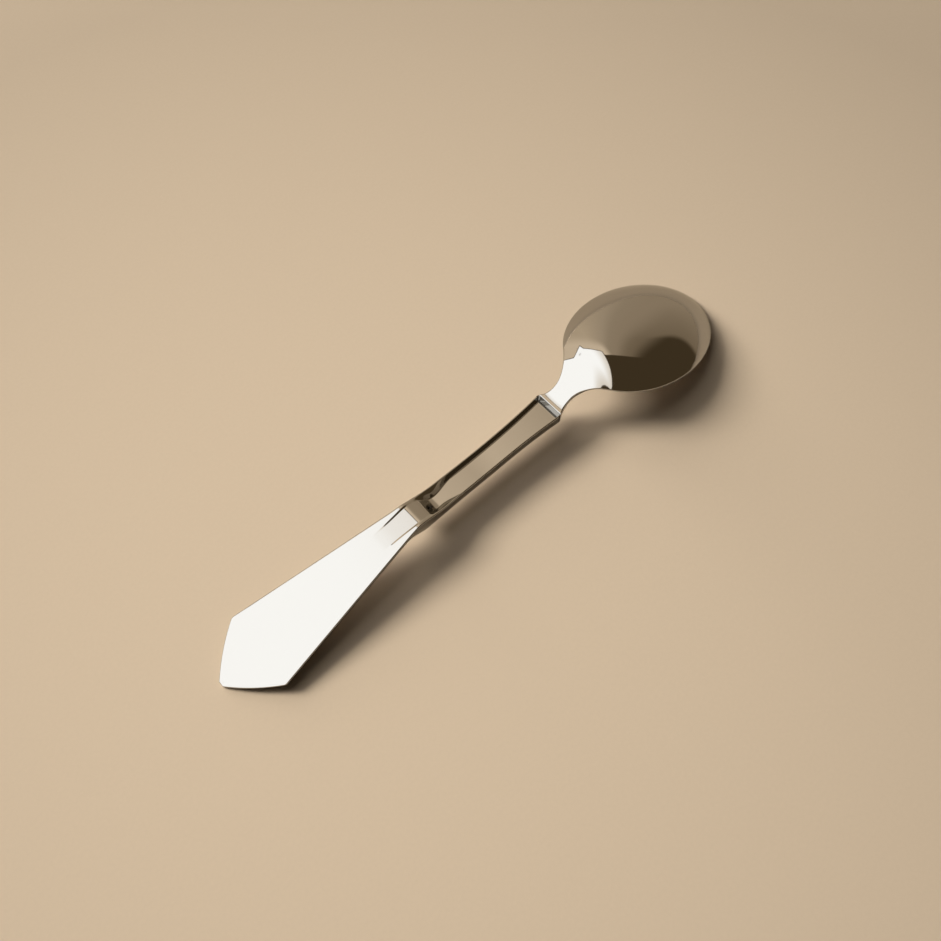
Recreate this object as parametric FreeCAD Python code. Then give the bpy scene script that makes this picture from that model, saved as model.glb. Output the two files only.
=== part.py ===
# Dinner spoon pressed from one sheet of polished stainless steel, lying on its face.
# Millimetres. +X runs from the handle's tip to the bowl's front, +Z is up, and the ground is Z = 0.
# In the functions, a station s is a distance from the tip along +X.
import FreeCAD, Part
import math
import os

Vector = FreeCAD.Vector

# Kite-shaped end of the handle, in plan
KITE_WIDTH = 25.8          # across the two corners
KITE_CORNER = 13.4         # from the tip to the corners
KITE_BULGE = 0.75          # how far each end edge bows outwards
KITE_LENGTH = 68.0         # from the tip to the waist
TIP_RADIUS = 1.6
CORNER_RADIUS = 2.0
WAIST_RADIUS = 60.0        # hollow corner between kite and stem

# Stem and neck, in plan
STEM_LENGTH = 57.34        # from the waist to the shoulders
WAIST_WIDTH = 9.1
STEM_WIDTH = 8.3           # narrowest part of the stem
NARROWEST_SHARE = 0.523    # where it lies: share of the stem's length from the waist
SHOULDER_WIDTH = 10.3
SHOULDER_SETBACK = 5.6     # from the shoulders to the narrowest part of the neck
SHOULDER_RADIUS = 0.7
STEM_FLARE = 2.5           # how late the stem widens: power of the distance from its narrowest part
JOIN_SETBACK = 1.5         # from the shoulders to the section where the neck begins
NECK_WIDTH = 6.7
NECK_SETBACK = 6.2         # from the narrowest part of the neck to the back of the bowl
NECK_HOLLOW = 9.5          # radius of the neck's hollow sides
FLARE_MEET = 4.4           # from the back of the bowl to where the neck's flare joins its outline
FLARE_START = 4.0          # pull of the flare along the neck
FLARE_END = 3.0            # pull of the flare along the bowl's outline

# Side view of the handle: heights of its back above the ground, and the bends between its straight runs
SHEET = 1.45               # sheet at the kite
STEM_HEIGHT = 3.7          # lips of the stem to its underside
WAIST_RISE = 10.5          # back of the handle at the waist
STEM_SETTLE = 10.5         # from the waist to where the stem levels out
STEM_RISE = 8.6            # lips of the stem there
STEM_MID_RISE = 8.5        # lips at the stem's narrowest part
SHOULDER_RISE = 9.5        # lips at the shoulders
NECK_FOOT = 3.4            # from the shoulders to the foot of the neck's slope
NECK_FOOT_RISE = 9.8
NECK_SHEET = 2.4           # neck, measured upright
NECK_CROWN = 10.0          # radius of the neck's back across the spoon, where it reaches the bowl
HEEL_REACH = 2.7           # how far the neck's slope runs past the back of the bowl
HEEL_RISE = 17.7
HEEL_FALL = 0.5            # slope on which it dives into the bowl's back
WAIST_BEND = 25.0
STEM_BEND = 20.0
STEM_SWEEP = 200.0
NECK_BEND = 9.0
HEEL_BEND = 6.0
FRONT_BEND = 5.0

# Channel stamped into the back of the stem
CHANNEL_LEAD = 9.0         # from where its floor leaves the kite to the waist
CHANNEL_START_WIDTH = 5.6
CHANNEL_DEPTH = 2.4        # below the lips
CHANNEL_LIP = 0.6          # lip left along each edge of the stem
CHANNEL_WAIST_LIP = 1.15   # how much more is left at the waist
CHANNEL_WALL = 0.65        # width of each sloping wall
CHANNEL_RAMP_SETBACK = 2.4  # start of its ramp, past the waist
CHANNEL_RAMP = 6.0         # length of the ramp from the kite to the floor
CHANNEL_RAMP_SINK = 0.9    # floor below the kite where the ramp begins
CHANNEL_RAMP_BEND = 4.0
CHANNEL_END = 0.4          # floor's end, before the shoulders
CHANNEL_END_WALL = 0.9     # length of the steep end wall
CHANNEL_END_BEND = 0.4     # bend at its foot

# Bowl
BOWL_LENGTH = 57.86
BOWL_WIDTH = 40.44
BOWL_DEPTH = 9.4           # height of the back above the rim, at the middle
BOWL_WALL = 1.2
RIM_WIDTH = 1.3            # flat rim, seen from the front
RIM_EDGE = 0.5             # upright edge round the rim
RIM_SLOPE = 0.244          # rise of the rim plane towards the neck
END_FULLNESS = 0.80        # how steeply the ends of the bowl stand
SIDE_FULLNESS = 0.25       # how steeply its sides stand
HEEL_BIAS = -0.12          # the deepest point lies towards the neck
BLEND = 2.4                # reach of the soft joint between neck and bowl

# Work sizes
CLEAR = 30.0               # how far cutting bodies reach past the spoon
OVERRUN = 2.0              # how far a face that is cut away runs on past the cut
STEM_STEPS = 24            # points along the stem's edge
HALVINGS = 40              # steps that home in on the waist's bend
TINY = 0.001               # step for the slope of the stem's edge
BOWL_ROWS = 60             # points along the bowl's faces
BOWL_COLUMNS = 40          # points across them

# Stations and half widths that follow from the sizes above
BOWL_HALF_LENGTH = BOWL_LENGTH / 2
BOWL_HALF_WIDTH = BOWL_WIDTH / 2
STEM_START = KITE_LENGTH + STEM_SETTLE
STEM_NARROWEST = KITE_LENGTH + NARROWEST_SHARE * STEM_LENGTH
SHOULDER = KITE_LENGTH + STEM_LENGTH
JOIN = SHOULDER + JOIN_SETBACK
NECK = SHOULDER + SHOULDER_SETBACK
BOWL_BACK = NECK + NECK_SETBACK
BOWL_CENTRE = BOWL_BACK + BOWL_HALF_LENGTH
LENGTH = BOWL_BACK + BOWL_LENGTH
CHANNEL_START = KITE_LENGTH - CHANNEL_LEAD
TIP_SLANT = math.hypot(KITE_CORNER, KITE_WIDTH / 2) / (KITE_WIDTH / 2)
TIP_OVERHANG = TIP_RADIUS * (TIP_SLANT - 1)   # sharp tip, before its corner is rounded off


def place(s, y, z):
    """Point at station s, with the origin under the middle of the spoon."""
    return Vector(s - LENGTH / 2, y, z)


def rounded_path(corners):
    """Straight runs through the corners (s, z, radius), with a tangent arc at each inner corner.

    Returns the runs and arcs in order: (start, end) for a run, (start, middle, end) for an arc.
    """
    pieces = []
    start = corners[0][:2]
    for before, corner, after in zip(corners, corners[1:], corners[2:]):
        s, z, radius = corner
        angle_in = math.atan2(z - before[1], s - before[0])
        angle_out = math.atan2(after[1] - z, after[0] - s)
        turn = angle_out - angle_in
        reach = radius * abs(math.tan(turn / 2))
        entry = (s - reach * math.cos(angle_in), z - reach * math.sin(angle_in))
        leave = (s + reach * math.cos(angle_out), z + reach * math.sin(angle_out))
        # The arc's middle lies on the line from the corner to the arc's centre.
        inset = radius * (1 / math.cos(turn / 2) - 1)
        toward = (angle_in + angle_out) / 2 + math.copysign(math.pi / 2, turn)
        middle = (s + inset * math.cos(toward), z + inset * math.sin(toward))
        pieces.append((start, entry))
        pieces.append((entry, middle, leave))
        start = leave
    pieces.append((start, corners[-1][:2]))
    return pieces


def path_height(pieces, s):
    """Height of a rounded path at station s."""
    for piece in pieces:
        if s <= piece[-1][0] or piece is pieces[-1]:
            break
    if len(piece) == 2:
        (s0, z0), (s1, z1) = piece
        return z0 + (z1 - z0) * (s - s0) / (s1 - s0)
    circle = Part.Circle(*[Vector(a, 0, b) for a, b in piece])
    centre, radius = circle.Center, circle.Radius
    side = 1 if piece[1][1] > centre.z else -1
    return centre.z + side * math.sqrt(radius ** 2 - (s - centre.x) ** 2)


def path_edges(pieces):
    """Edges of a rounded path in the spoon's middle plane."""
    edges = []
    for piece in pieces:
        points = [place(s, 0, z) for s, z in piece]
        curve = Part.LineSegment(*points) if len(points) == 2 else Part.Arc(*points)
        edges.append(curve.toShape())
    return edges


def rim_height(s):
    """Height of the rim plane, which touches the ground at the bowl's front."""
    return RIM_SLOPE * (LENGTH - s)


def kite_height(s):
    """Height of the flat back of the kite, continued past the waist."""
    return SHEET + (WAIST_RISE - SHEET) * s / KITE_LENGTH


def back_path():
    """Side view of the back, with the neck's slope running on into the bowl."""
    heel = BOWL_BACK + HEEL_REACH
    return rounded_path([
        (0, SHEET, 0),
        (KITE_LENGTH, WAIST_RISE, WAIST_BEND),
        (STEM_START, STEM_RISE, STEM_BEND),
        (STEM_NARROWEST, STEM_MID_RISE, STEM_SWEEP),
        (SHOULDER, SHOULDER_RISE, STEM_BEND),
        (SHOULDER + NECK_FOOT, NECK_FOOT_RISE, NECK_BEND),
        (heel, HEEL_RISE, HEEL_BEND),
        (LENGTH, HEEL_RISE - (LENGTH - heel) * HEEL_FALL, 0),
    ])


def front_path():
    """Side view of the front: kite, stem, neck and then the plane of the bowl's rim."""
    ramp_start = KITE_LENGTH - CHANNEL_RAMP / 2
    meet = BOWL_BACK + RIM_EDGE
    return rounded_path([
        (0, 0, 0),
        (ramp_start, kite_height(ramp_start) - SHEET, FRONT_BEND),
        (ramp_start + CHANNEL_RAMP, STEM_RISE - STEM_HEIGHT, FRONT_BEND),
        (STEM_NARROWEST, STEM_MID_RISE - STEM_HEIGHT, STEM_SWEEP),
        (SHOULDER, SHOULDER_RISE - STEM_HEIGHT, FRONT_BEND),
        (SHOULDER + NECK_FOOT, NECK_FOOT_RISE - NECK_SHEET, FRONT_BEND),
        (meet, rim_height(meet), FRONT_BEND),
        (LENGTH + OVERRUN, rim_height(LENGTH + OVERRUN), 0),
    ])


def floor_path():
    """Side view of the channel's floor: out of the kite, down the ramp, along the stem, up to the neck."""
    ramp = KITE_LENGTH + CHANNEL_RAMP_SETBACK
    before = CHANNEL_START - OVERRUN
    sink = CHANNEL_RAMP_SINK / (ramp - CHANNEL_START)
    end = SHOULDER - CHANNEL_END
    return rounded_path([
        (before, kite_height(before) + sink * OVERRUN, 0),
        (ramp, kite_height(ramp) - CHANNEL_RAMP_SINK, CHANNEL_RAMP_BEND),
        (ramp + CHANNEL_RAMP, STEM_RISE - CHANNEL_DEPTH, CHANNEL_RAMP_BEND),
        (STEM_NARROWEST, STEM_MID_RISE - CHANNEL_DEPTH, STEM_SWEEP),
        (end, SHOULDER_RISE - CHANNEL_DEPTH, CHANNEL_END_BEND),
        (end + 2 * CHANNEL_END_WALL, SHOULDER_RISE + CHANNEL_DEPTH, 0),
    ])


def filled_side(pieces, far_height):
    """Body between a side-view path and a level far_height, right across the spoon."""
    edges = path_edges(pieces)
    first, last = pieces[0][0], pieces[-1][-1]
    corners = [place(last[0], 0, last[1]), place(last[0], 0, far_height)]
    corners += [place(first[0], 0, far_height), place(first[0], 0, first[1])]
    edges += [Part.LineSegment(a, b).toShape() for a, b in zip(corners, corners[1:])]
    face = Part.Face(Part.Wire(edges))
    face.translate(Vector(0, -CLEAR, 0))
    return face.extrude(Vector(0, 2 * CLEAR, 0))


def stem_half_width(s):
    """Half width of the stem at station s: it widens from its narrowest part to the waist and the shoulders."""
    far, width = (SHOULDER, SHOULDER_WIDTH) if s > STEM_NARROWEST else (KITE_LENGTH, WAIST_WIDTH)
    share = ((s - STEM_NARROWEST) / (far - STEM_NARROWEST)) ** STEM_FLARE
    return (STEM_WIDTH + (width - STEM_WIDTH) * share) / 2


def smooth_step(share):
    """Rise from 0 to 1 with level ends."""
    share = min(max(share, 0), 1)
    return share ** 2 * (3 - 2 * share)


def stem_curve(start, inset, waist_inset):
    """Edge of the stem from station start to the shoulders.

    It is moved inwards by inset, and by waist_inset more at the waist.
    """
    points = []
    for i in range(STEM_STEPS + 1):
        s = start + (SHOULDER - start) * i / STEM_STEPS
        near_waist = 1 - smooth_step((s - KITE_LENGTH) / STEM_SETTLE)
        points.append(place(s, stem_half_width(s) - inset - waist_inset * near_waist, 0))
    curve = Part.BSplineCurve()
    curve.interpolate(points)
    return curve


def mirrored(edges):
    """The same edges on the other side of the spoon."""
    return [edge.mirror(Vector(0, 0, 0), Vector(0, 1, 0)) for edge in edges]


def waist_bend():
    """Hollow arc between the kite's side and the stem's edge.

    Returns its start, middle and end as (s, y) vectors.
    """
    corner, waist = Vector(KITE_CORNER, KITE_WIDTH / 2, 0), Vector(KITE_LENGTH, WAIST_WIDTH / 2, 0)
    along = (waist - corner).normalize()
    outward = Vector(-along.y, along.x, 0)
    low, high = KITE_LENGTH, STEM_NARROWEST
    for _ in range(HALVINGS):
        s = (low + high) / 2
        slope = (stem_half_width(s + TINY) - stem_half_width(s)) / TINY
        end = Vector(s, stem_half_width(s), 0)
        centre = end + Vector(-slope, 1, 0).normalize() * WAIST_RADIUS
        low, high = (s, high) if (centre - waist).dot(outward) < WAIST_RADIUS else (low, s)
    start = centre - outward * WAIST_RADIUS
    toward = ((start + end) * 0.5 - centre).normalize()
    return start, centre + toward * WAIST_RADIUS, end


def handle_outline():
    """Closed outline of the kite, the stem and the start of the neck, up to the join."""
    tip, corner = place(-TIP_OVERHANG, 0, 0), place(KITE_CORNER, KITE_WIDTH / 2, 0)
    along = (corner - tip).normalize()
    outward = Vector(-along.y, along.x, 0)
    bow = (tip + corner) * 0.5 + outward * KITE_BULGE
    bend = waist_bend()
    stem = stem_curve(bend[-1].x, 0, 0)
    bend = [place(point.x, point.y, 0) for point in bend]
    shoulder = stem.value(stem.LastParameter)
    half = [
        Part.Arc(tip, bow, corner).toShape(),
        Part.LineSegment(corner, bend[0]).toShape(),
        Part.Arc(*bend).toShape(),
        stem.toShape(),
        Part.LineSegment(shoulder, place(JOIN, neck_half_width(JOIN), 0)).toShape(),
    ]
    across = Part.LineSegment(place(JOIN, neck_half_width(JOIN), 0), place(JOIN, -neck_half_width(JOIN), 0))
    return Part.Wire(Part.__sortEdges__(half + mirrored(half) + [across.toShape()]))


def neck_half_width(s):
    """Half width of the neck's hollow at station s, on the handle's side of its narrowest part."""
    return NECK_WIDTH / 2 + NECK_HOLLOW - math.sqrt(NECK_HOLLOW ** 2 - (s - NECK) ** 2)


def upright_edges(shape, station):
    """Upright edges of a plan prism that stand at a station."""
    x = place(station, 0, 0).x
    return [edge for edge in shape.Edges
            if all(abs(vertex.Point.x - x) < 0.01 for vertex in edge.Vertexes)
            and abs(edge.Vertexes[0].Point.y - edge.Vertexes[-1].Point.y) < 0.01]


def handle_prism():
    """Plan of the handle as an upright prism with its corners rounded."""
    prism = Part.Face(handle_outline()).extrude(Vector(0, 0, CLEAR))
    prism.translate(Vector(0, 0, -CLEAR / 3))
    corners = [(-TIP_OVERHANG, TIP_RADIUS), (KITE_CORNER, CORNER_RADIUS), (SHOULDER, SHOULDER_RADIUS)]
    for station, radius in corners:
        prism = prism.makeFillet(radius, upright_edges(prism, station))
    return prism


def channel_tool():
    """Body that stamps the channel: sloping side walls above the channel's floor."""
    low = STEM_MID_RISE - CHANNEL_DEPTH - OVERRUN
    high = WAIST_RISE + OVERRUN
    slope = CHANNEL_WALL / CHANNEL_DEPTH
    wires = []
    for level in (low, high):
        inset = CHANNEL_LIP + slope * (STEM_MID_RISE - level)
        curve = stem_curve(KITE_LENGTH, inset, CHANNEL_WAIST_LIP)
        head = curve.value(curve.FirstParameter)
        start = place(CHANNEL_START - OVERRUN, CHANNEL_START_WIDTH / 2 + CHANNEL_LIP - inset, 0)
        tail = curve.value(curve.LastParameter)
        end = place(SHOULDER + OVERRUN, SHOULDER_WIDTH / 2 - inset, 0)
        half = [Part.LineSegment(start, head).toShape(), curve.toShape(), Part.LineSegment(tail, end).toShape()]
        caps = [Part.LineSegment(Vector(p.x, p.y, 0), Vector(p.x, -p.y, 0)).toShape() for p in (start, end)]
        wire = Part.Wire(Part.__sortEdges__(half + mirrored(half) + caps))
        wire.translate(Vector(0, 0, level))
        wires.append(wire)
    walls = Part.makeLoft(wires, True, True)
    return walls.common(filled_side(floor_path(), high + OVERRUN))


def handle():
    """Handle up to the join: plan and side view intersected, with the channel stamped in."""
    blank = handle_prism()
    blank = blank.common(filled_side(back_path(), -CLEAR))
    blank = blank.cut(filled_side(front_path(), -2 * CLEAR))
    return blank.cut(channel_tool())


def dome_height(s, y, half_length, half_width, depth, edge):
    """Height of a domed face over the rim plane: a smooth cap on an ellipse, fuller at its ends."""
    across = (s - BOWL_CENTRE) / half_length
    aside = y / half_width
    cap = 1 - across ** 2 - aside ** 2
    fullness = 1 + END_FULLNESS * across ** 2 + SIDE_FULLNESS * aside ** 2
    return rim_height(s) + edge + depth * cap * fullness * (1 + HEEL_BIAS * across)


def soft_max(a, b, reach):
    """The higher of two heights, with a smooth crossing."""
    near = max(reach - abs(a - b), 0) / reach
    return max(a, b) + near ** 2 * reach / 4


def back_height(s, y, slope):
    """Height of the back at the neck and bowl, where slope is the side view of the neck."""
    crown = smooth_step((s - JOIN) / (BOWL_BACK - JOIN)) / (2 * NECK_CROWN)
    tongue = path_height(slope, s) - crown * y * y
    return soft_max(tongue, bowl_back(s, y), BLEND)


def under_surface(height, s_from, s_to, half_span):
    """Body below a smooth surface z = height(s, y)."""
    grid = []
    for i in range(BOWL_ROWS + 1):
        s = s_from + (s_to - s_from) * i / BOWL_ROWS
        sides = [half_span * (2 * j / BOWL_COLUMNS - 1) for j in range(BOWL_COLUMNS + 1)]
        grid.append([place(s, y, height(s, y)) for y in sides])
    surface = Part.BSplineSurface()
    surface.interpolate(grid)
    return surface.toShape().extrude(Vector(0, 0, -3 * CLEAR))


def flare_curve():
    """Side of the neck from its narrowest part, running smoothly into the bowl's outline."""
    along = (FLARE_MEET - BOWL_HALF_LENGTH) / BOWL_HALF_LENGTH
    aside = math.sqrt(1 - along ** 2)
    start = place(NECK, NECK_WIDTH / 2, 0)
    meet = place(BOWL_BACK + FLARE_MEET, BOWL_HALF_WIDTH * aside, 0)
    tangent = Vector(BOWL_HALF_LENGTH * aside, -BOWL_HALF_WIDTH * along, 0).normalize()
    curve = Part.BezierCurve()
    curve.setPoles([start, start + Vector(FLARE_START, 0, 0), meet - tangent * FLARE_END, meet])
    return curve


def neck_outline():
    """Closed outline of the neck and its flares, from the join into the bowl."""
    flare = flare_curve()
    join = place(JOIN, neck_half_width(JOIN), 0)
    half_way = (JOIN + NECK) / 2
    hollow = Part.Arc(join, place(half_way, neck_half_width(half_way), 0), flare.StartPoint)
    half = [hollow.toShape(), flare.toShape()]
    caps = [Part.LineSegment(p, Vector(p.x, -p.y, 0)).toShape() for p in (join, flare.EndPoint)]
    return Part.Wire(Part.__sortEdges__(half + mirrored(half) + caps))


def bowl_prism():
    """Plan of the neck and bowl as one upright prism."""
    oval = Part.Ellipse(place(BOWL_CENTRE, 0, 0), BOWL_HALF_LENGTH, BOWL_HALF_WIDTH).toShape()
    prism = Part.Face(Part.Wire([oval])).extrude(Vector(0, 0, 2 * CLEAR))
    neck = Part.Face(neck_outline()).extrude(Vector(0, 0, 2 * CLEAR))
    prism = prism.fuse(neck).removeSplitter()
    prism.translate(Vector(0, 0, -CLEAR))
    return prism


def bowl_back(s, y):
    """Height of the bowl's back over the ground, without the neck."""
    return dome_height(s, y, BOWL_HALF_LENGTH, BOWL_HALF_WIDTH, BOWL_DEPTH - RIM_EDGE, RIM_EDGE)


def bowl_front(s, y):
    """Height of the hollow's face over the ground."""
    return dome_height(s, y, BOWL_HALF_LENGTH - RIM_WIDTH, BOWL_HALF_WIDTH - RIM_WIDTH, BOWL_DEPTH - BOWL_WALL, 0)


def bowl():
    """Neck and bowl: plan prism below the back's surface, with the front and the hollow taken out."""
    slope = back_path()
    skin = under_surface(lambda s, y: back_height(s, y, slope), JOIN, LENGTH + OVERRUN, BOWL_HALF_WIDTH + OVERRUN)
    hollow = under_surface(bowl_front, BOWL_BACK, LENGTH, BOWL_HALF_WIDTH)
    body = bowl_prism().common(skin)
    body = body.cut(filled_side(front_path(), -2 * CLEAR))
    return body.cut(hollow)


def spoon():
    """The whole spoon as one solid."""
    return handle().fuse(bowl()).removeSplitter()


def main():
    """Write the spoon's one solid."""
    os.makedirs("parts", exist_ok=True)
    shape = spoon()
    shape.exportStep("parts/spoon.step")
    print("solids", len(shape.Solids), "valid", shape.isValid(), "volume", round(shape.Volume, 1))


main()
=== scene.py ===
"""Looks of a dinner spoon of polished steel that lies on its face on a pale table.

The spoon is one mesh with a smooth surface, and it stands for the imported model's one node. It has that
model's sizes, with its edges rounded and its channel shaped more closely. Sizes of the spoon are in
millimetres. A station is a distance from the handle's tip along the spoon.
"""

import logging
import math
from dataclasses import dataclass, field
from enum import Enum
from typing import Any

import bpy
import numpy as np
from mathutils import Matrix, Vector


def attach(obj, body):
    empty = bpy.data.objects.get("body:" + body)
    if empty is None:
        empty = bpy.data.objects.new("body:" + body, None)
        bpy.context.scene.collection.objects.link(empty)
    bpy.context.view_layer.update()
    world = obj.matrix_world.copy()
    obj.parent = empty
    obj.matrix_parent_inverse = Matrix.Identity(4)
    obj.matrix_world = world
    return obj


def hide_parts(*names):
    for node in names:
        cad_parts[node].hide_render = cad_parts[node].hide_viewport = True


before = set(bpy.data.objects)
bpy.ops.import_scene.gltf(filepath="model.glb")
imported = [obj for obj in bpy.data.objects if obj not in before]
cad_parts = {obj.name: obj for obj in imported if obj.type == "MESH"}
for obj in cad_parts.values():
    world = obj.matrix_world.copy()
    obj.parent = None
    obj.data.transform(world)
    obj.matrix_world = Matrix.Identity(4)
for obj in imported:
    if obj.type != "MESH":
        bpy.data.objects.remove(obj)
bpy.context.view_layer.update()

MM = 0.001
STRAIGHT = 1e-6        # turn of a corner that needs no bend, in radians
OVERRUN = 2.0          # how far side-view lines run on past the spoon's ends
SAME_POINT = 2e-8      # points of the mesh that are closer than this are one, in metres
LINE_POINTS = 1500     # points along stretches of the outline, before the mesh picks its own
BOW_POINTS = 900
CURVE_POINTS = 2400
HOLLOW_POINTS = 200
FLARE_POINTS = 400
BEND_POINTS = 60
LOG = logging.getLogger("spoon")
Colour = tuple[float, float, float]
OpaqueColour = tuple[float, float, float, float]


def smooth_step(share: np.ndarray) -> np.ndarray:
    """Rise from 0 to 1 with level ends, for a share of the way that may run past either end."""
    share = np.clip(share, 0.0, 1.0)
    return share * share * (3.0 - 2.0 * share)


def soft_max(a: np.ndarray, b: np.ndarray, reach: float) -> np.ndarray:
    """The higher of two heights, with a smooth crossing.

    Args:
        a: First height.
        b: Second height.
        reach: Difference in height below which the two melt together.

    Returns:
        The height of the blended surface.
    """
    near = np.maximum(reach - np.abs(a - b), 0.0) / reach
    return np.maximum(a, b) + near * near * reach / 4.0


def soft_min(a: np.ndarray, b: np.ndarray, reach: float) -> np.ndarray:
    """The lower of two heights, with a smooth crossing."""
    return -soft_max(-a, -b, reach)


@dataclass(frozen=True)
class RoundedPath:
    """Side-view line of straight runs, with a tangent arc at each inner corner.

    Attributes:
        corners: Station, height and bend radius of each corner. The bends of the two ends aren't used.
    """

    corners: tuple[tuple[float, float, float], ...]

    def height(self, s: np.ndarray) -> np.ndarray:
        """Heights of the line.

        Args:
            s: Stations.

        Returns:
            Heights of the same shape.
        """
        stations = [corner[0] for corner in self.corners]
        heights = np.interp(s, stations, [corner[1] for corner in self.corners])
        for before, corner, after in zip(self.corners, self.corners[1:], self.corners[2:]):
            angle_in = math.atan2(corner[1] - before[1], corner[0] - before[0])
            angle_out = math.atan2(after[1] - corner[1], after[0] - corner[0])
            turn = angle_out - angle_in
            if abs(turn) < STRAIGHT:
                continue
            radius = corner[2]
            reach = radius * abs(math.tan(turn / 2))
            upward = math.copysign(1.0, turn)
            toward = (angle_in + angle_out) / 2 + upward * math.pi / 2
            centre_s = corner[0] + radius / math.cos(turn / 2) * math.cos(toward)
            centre_z = corner[1] + radius / math.cos(turn / 2) * math.sin(toward)
            bend_start = corner[0] - reach * math.cos(angle_in)
            bend_end = corner[0] + reach * math.cos(angle_out)
            drop = np.sqrt(np.maximum(radius ** 2 - (s - centre_s) ** 2, 0.0))
            heights = np.where((s > bend_start) & (s < bend_end), centre_z - upward * drop, heights)
        return heights


@dataclass(frozen=True)
class Strand:
    """Stretch of the plan outline: points and outward normals, from the tip towards the bowl."""

    points: np.ndarray
    normals: np.ndarray

    @staticmethod
    def along(points: np.ndarray, tangents: np.ndarray) -> "Strand":
        """Strand through points whose tangents are known, with the outside on the left of its run.

        Args:
            points: Points (station, aside).
            tangents: Tangent at each point, of any length.

        Returns:
            The strand.
        """
        unit = tangents / np.linalg.norm(tangents, axis=1, keepdims=True)
        return Strand(points, np.stack([-unit[:, 1], unit[:, 0]], axis=1))

    @staticmethod
    def line(start: tuple[float, float], end: tuple[float, float]) -> "Strand":
        """Straight strand between two points.

        Args:
            start: Its first point.
            end: Its last point.

        Returns:
            The strand.
        """
        share = np.linspace(0.0, 1.0, LINE_POINTS)[:, None]
        points = np.array(start) * (1 - share) + np.array(end) * share
        return Strand.along(points, np.repeat(np.array([end]) - np.array([start]), len(points), axis=0))

    @staticmethod
    def over(s: np.ndarray, y: np.ndarray) -> "Strand":
        """Strand through distances aside y at rising stations s."""
        tangents = np.stack([np.ones_like(s), np.gradient(y, s)], axis=1)
        return Strand.along(np.stack([s, y], axis=1), tangents)

    def rounded_into(self, after: "Strand", radius: float) -> tuple["Strand", "Strand", "Strand"]:
        """Rounds the corner between this strand and the next.

        Args:
            after: The next strand, which starts where this one ends.
            radius: Radius of the rounding.

        Returns:
            This strand cut short, the rounding, and the next strand cut short.
        """
        first, last = self.normals[-1], after.normals[0]
        side = -1.0 if first[0] * last[1] - first[1] * last[0] < 0 else 1.0
        inner = self.points + side * radius * self.normals
        outer = after.points + side * radius * after.normals
        reach = min(len(inner), len(outer))
        gaps = np.linalg.norm(inner[-reach:, None, :] - outer[None, :reach, :], axis=2)
        i, j = np.unravel_index(np.argmin(gaps), gaps.shape)
        i += len(inner) - reach
        centre = (inner[i] + outer[j]) / 2
        start = math.atan2(*(self.points[i] - centre)[::-1])
        end = math.atan2(*(after.points[j] - centre)[::-1])
        turn = (end - start + math.pi) % (2 * math.pi) - math.pi
        angles = start + turn * np.linspace(0.0, 1.0, BEND_POINTS)[1:-1]
        ray = np.stack([np.cos(angles), np.sin(angles)], axis=1)
        bend = Strand(centre + radius * ray, -side * ray)
        before = Strand(self.points[:i + 1], self.normals[:i + 1])
        return before, bend, Strand(after.points[j:], after.normals[j:])


@dataclass(frozen=True)
class HandlePlan:
    """Handle seen from above: kite-shaped end, stem, shoulders and neck.

    Widths go right across. The kite's corner and length, the stem's narrowest place, the shoulder, the join
    between handle and neck, and the neck are stations.
    """

    kite_width: float = 25.8
    kite_corner: float = 13.4
    kite_bulge: float = 0.75
    kite_length: float = 68.0
    tip_radius: float = 1.6
    corner_radius: float = 2.0
    waist_radius: float = 60.0
    waist_width: float = 9.1
    stem_width: float = 8.3
    stem_narrowest: float = 98.0
    stem_flare: float = 2.5
    shoulder: float = 125.34
    shoulder_width: float = 10.3
    shoulder_radius: float = 0.7
    join: float = 126.84
    neck: float = 130.94
    neck_width: float = 6.7
    neck_hollow: float = 9.5

    def stem_half_width(self, s: np.ndarray) -> np.ndarray:
        """Half width of the stem, which widens to both sides of its narrowest place.

        Args:
            s: Stations.

        Returns:
            Half widths of the same shape.
        """
        s = np.asarray(s, dtype=float)
        toward_neck = s > self.stem_narrowest
        far = np.where(toward_neck, self.shoulder, self.kite_length)
        width = np.where(toward_neck, self.shoulder_width, self.waist_width)
        way = np.clip((s - self.stem_narrowest) / (far - self.stem_narrowest), 0.0, 1.0)
        return (self.stem_width + (width - self.stem_width) * way ** self.stem_flare) / 2

    def neck_half_width(self, s: np.ndarray) -> np.ndarray:
        """Half width of the neck's hollow at stations s on the handle's side of its narrowest part."""
        return self.neck_width / 2 + self.neck_hollow - np.sqrt(self.neck_hollow ** 2 - (s - self.neck) ** 2)

    def end_edge(self) -> Strand:
        """Slightly bowed edge of the kite's end: an arc over the chord from the sharp tip to the corner.

        Returns:
            The edge on the left.
        """
        slant = math.hypot(self.kite_corner, self.kite_width / 2) / (self.kite_width / 2)
        tip = np.array([-self.tip_radius * (slant - 1), 0.0])
        corner = np.array([self.kite_corner, self.kite_width / 2])
        chord = corner - tip
        length = float(np.linalg.norm(chord))
        along = chord / length
        outward = np.array([-along[1], along[0]])
        radius = (length ** 2 / 4 + self.kite_bulge ** 2) / (2 * self.kite_bulge)
        centre = (tip + corner) / 2 - outward * (radius - self.kite_bulge)
        half = math.asin(length / 2 / radius)
        angle = np.linspace(-half, half, BOW_POINTS)[:, None]
        ray = np.sin(angle) * along + np.cos(angle) * outward
        return Strand(centre + radius * ray, ray)

    def stem_edge(self) -> Strand:
        """Edge of the stem from the waist to the shoulder."""
        s = np.linspace(self.kite_length, self.shoulder, CURVE_POINTS)
        return Strand.over(s, self.stem_half_width(s))

    def hollow_edge(self) -> Strand:
        """Edge of the neck from the join to its narrowest part."""
        s = np.linspace(self.join, self.neck, HOLLOW_POINTS)
        return Strand.over(s, self.neck_half_width(s))


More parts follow.
